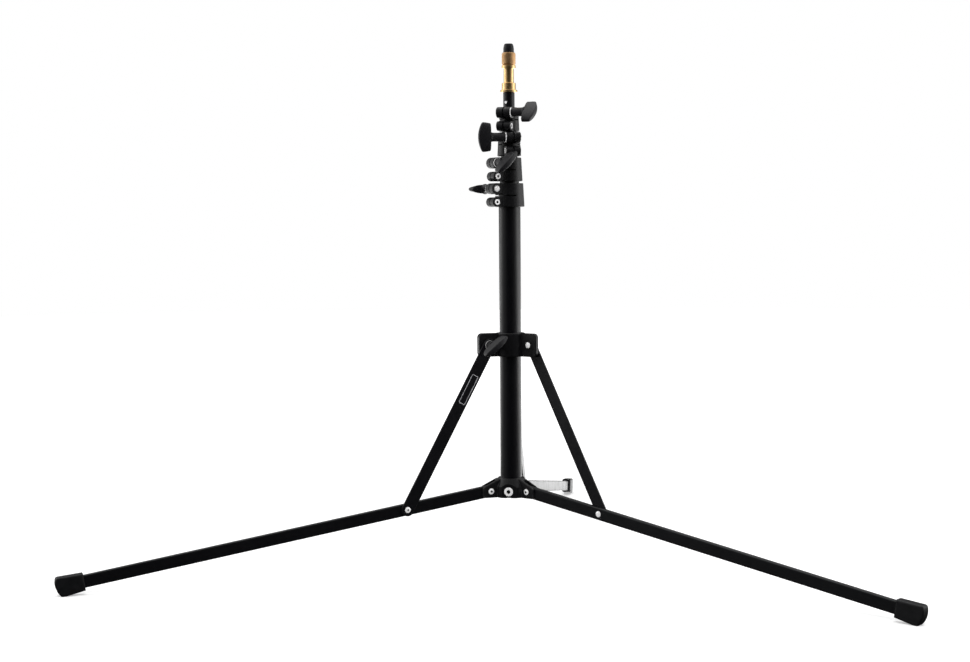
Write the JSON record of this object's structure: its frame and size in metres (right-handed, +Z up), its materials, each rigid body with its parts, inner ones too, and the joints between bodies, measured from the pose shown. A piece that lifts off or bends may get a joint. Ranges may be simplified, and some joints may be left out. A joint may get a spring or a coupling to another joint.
{
  "type": "light stand",
  "caption": "Compact black folding light stand: telescopic column with wing-knob clamps, tripod legs braced by a sliding collar, brass stud on top.",
  "frame": {"origin": "on the floor under the axis of the column, at the height of the flat faces of the feet", "axes": "+Z up along the column, +Y along the rear leg; the other legs point to 210 and 330 degrees from +X"},
  "size_m": [0.9, 0.7799, 0.5959],
  "materials": {
    "tube_metal": "black anodised, satin",
    "strut_metal": "black anodised, satin",
    "cast_metal": "black powder coat, fine texture",
    "collar_plastic": "black moulded glass-filled nylon, matte",
    "knob_plastic": "black moulded plastic, fine texture",
    "guide_plastic": "dark acetal, smooth",
    "bright_steel": "bright zinc plate",
    "foot_rubber": "black moulded rubber",
    "cap_rubber": "black rubber",
    "polished_brass": "polished brass",
    "knurled_brass": "knurled brass, dull"
  },
  "bodies": {
    "base": {"hub": "cast_metal", "hub_tube_screw": "bright_steel", "hub_pivot_screws": "bright_steel", "base_tube": "tube_metal", "clamp_collar_1": "collar_plastic", "clamp_bush_1": "guide_plastic", "clamp_bolt_1": "bright_steel", "clamp_screw_1": "bright_steel"},
    "slider": {"slider_collar": "collar_plastic", "slider_bush": "guide_plastic", "slider_bolt": "bright_steel", "slider_rivets": "bright_steel"},
    "slider_knob": {"slider_knob": "knob_plastic"},
    "rear_leg": {"rear_leg": "tube_metal", "rear_foot": "foot_rubber", "rear_leg_rivet": "bright_steel"},
    "rear_strut": {"rear_strut": "strut_metal", "rear_strut_rivet": "bright_steel"},
    "left_leg": {"left_leg": "tube_metal", "left_foot": "foot_rubber", "left_leg_rivet": "bright_steel"},
    "left_strut": {"left_strut": "strut_metal", "left_strut_rivet": "bright_steel"},
    "right_leg": {"right_leg": "tube_metal", "right_foot": "foot_rubber", "right_leg_rivet": "bright_steel"},
    "right_strut": {"right_strut": "strut_metal", "right_strut_rivet": "bright_steel"},
    "riser_1": {"riser_tube_1": "tube_metal", "riser_guide_1": "guide_plastic", "clamp_collar_2": "collar_plastic", "clamp_bush_2": "guide_plastic", "clamp_bolt_2": "bright_steel", "clamp_screw_2": "bright_steel"},
    "riser_2": {"riser_tube_2": "tube_metal", "riser_guide_2": "guide_plastic", "clamp_collar_3": "collar_plastic", "clamp_bush_3": "guide_plastic", "clamp_bolt_3": "bright_steel", "clamp_screw_3": "bright_steel"},
    "riser_3": {"riser_tube_3": "tube_metal", "riser_guide_3": "guide_plastic", "clamp_collar_4": "collar_plastic", "clamp_bush_4": "guide_plastic", "clamp_bolt_4": "bright_steel", "clamp_screw_4": "bright_steel"},
    "riser_4": {"riser_tube_4": "tube_metal", "riser_guide_4": "guide_plastic", "spigot": "polished_brass", "spigot_pin": "bright_steel"},
    "wing_knob_1": {"wing_knob_1": "knob_plastic"},
    "wing_knob_2": {"wing_knob_2": "knob_plastic"},
    "wing_knob_3": {"wing_knob_3": "knob_plastic"},
    "wing_knob_4": {"wing_knob_4": "knob_plastic"},
    "knurled_nut": {"knurled_nut": "knurled_brass"},
    "thread_cap": {"thread_cap": "cap_rubber"}
  },
  "joints": [
    {"name": "slider_slide", "type": "slide", "parent": "base", "child": "slider", "axis": [0, 0, 1], "range_m": [0, 0.14198]},
    {"name": "rear_leg_fold", "type": "hinge", "parent": "base", "child": "rear_leg", "pos_m": [0, 0.0265, 0.08364], "axis": [1, 0, 0], "range_deg": [0, 94.62]},
    {"name": "left_leg_fold", "type": "hinge", "parent": "base", "child": "left_leg", "pos_m": [-0.02295, -0.01325, 0.08364], "axis": [-0.5, 0.866, 0], "range_deg": [0, 94.62]},
    {"name": "right_leg_fold", "type": "hinge", "parent": "base", "child": "right_leg", "pos_m": [0.02295, -0.01325, 0.08364], "axis": [-0.5, -0.866, 0], "range_deg": [0, 94.62]},
    {"name": "rear_strut_swing", "type": "hinge", "parent": "slider", "child": "rear_strut", "pos_m": [0, 0.0271, 0.2523], "axis": [-1, 0, 0], "range_deg": [0, 26.8]},
    {"name": "left_strut_swing", "type": "hinge", "parent": "slider", "child": "left_strut", "pos_m": [-0.02347, -0.01355, 0.2523], "axis": [0.5, -0.866, 0], "range_deg": [0, 26.8]},
    {"name": "right_strut_swing", "type": "hinge", "parent": "slider", "child": "right_strut", "pos_m": [0.02347, -0.01355, 0.2523], "axis": [0.5, 0.866, 0], "range_deg": [0, 26.8]},
    {"name": "riser_1_slide", "type": "slide", "parent": "base", "child": "riser_1", "axis": [0, 0, 1], "range_m": [-0.0018, 0.32]},
    {"name": "riser_2_slide", "type": "slide", "parent": "riser_1", "child": "riser_2", "axis": [0, 0, 1], "range_m": [-0.0013, 0.32]},
    {"name": "riser_3_slide", "type": "slide", "parent": "riser_2", "child": "riser_3", "axis": [0, 0, 1], "range_m": [-0.0008, 0.32]},
    {"name": "riser_4_slide", "type": "slide", "parent": "riser_3", "child": "riser_4", "axis": [0, 0, 1], "range_m": [-0.017, 0.32]},
    {"name": "wing_knob_1_turn", "type": "hinge", "parent": "base", "child": "wing_knob_1", "pos_m": [-0.01617, -0.01324, 0.43095], "axis": [-0.6334, 0.7738, 0], "continuous": true},
    {"name": "wing_knob_2_turn", "type": "hinge", "parent": "riser_1", "child": "wing_knob_2", "pos_m": [-0.01532, -0.01254, 0.46015], "axis": [0.6334, -0.7738, 0], "continuous": true},
    {"name": "wing_knob_3_turn", "type": "hinge", "parent": "riser_2", "child": "wing_knob_3", "pos_m": [0.00688, -0.01598, 0.48885], "axis": [-0.9184, -0.3955, 0], "continuous": true},
    {"name": "wing_knob_4_turn", "type": "hinge", "parent": "riser_3", "child": "wing_knob_4", "pos_m": [-0.00286, -0.01513, 0.51705], "axis": [0.9826, -0.1857, 0], "continuous": true},
    {"name": "slider_knob_turn", "type": "hinge", "parent": "slider", "child": "slider_knob", "pos_m": [-0.02347, -0.01355, 0.2523], "axis": [0.5, -0.866, 0], "continuous": true},
    {"name": "knurled_nut_turn", "type": "hinge", "parent": "riser_4", "child": "knurled_nut", "pos_m": [0, 0, 0.579], "axis": [0, 0, 1], "continuous": true},
    {"name": "thread_cap_pull", "type": "slide", "parent": "riser_4", "child": "thread_cap", "axis": [0, 0, 1], "range_m": [0, 0.03]}
  ],
  "couplings": [
    {"joint": "rear_leg_fold", "follows": "slider_slide", "rad_per_m": 11.619},
    {"joint": "left_leg_fold", "follows": "slider_slide", "rad_per_m": 11.619},
    {"joint": "right_leg_fold", "follows": "slider_slide", "rad_per_m": 11.619},
    {"joint": "rear_strut_swing", "follows": "slider_slide", "rad_per_m": 3.2818},
    {"joint": "left_strut_swing", "follows": "slider_slide", "rad_per_m": 3.2818},
    {"joint": "right_strut_swing", "follows": "slider_slide", "rad_per_m": 3.2818}
  ]
}
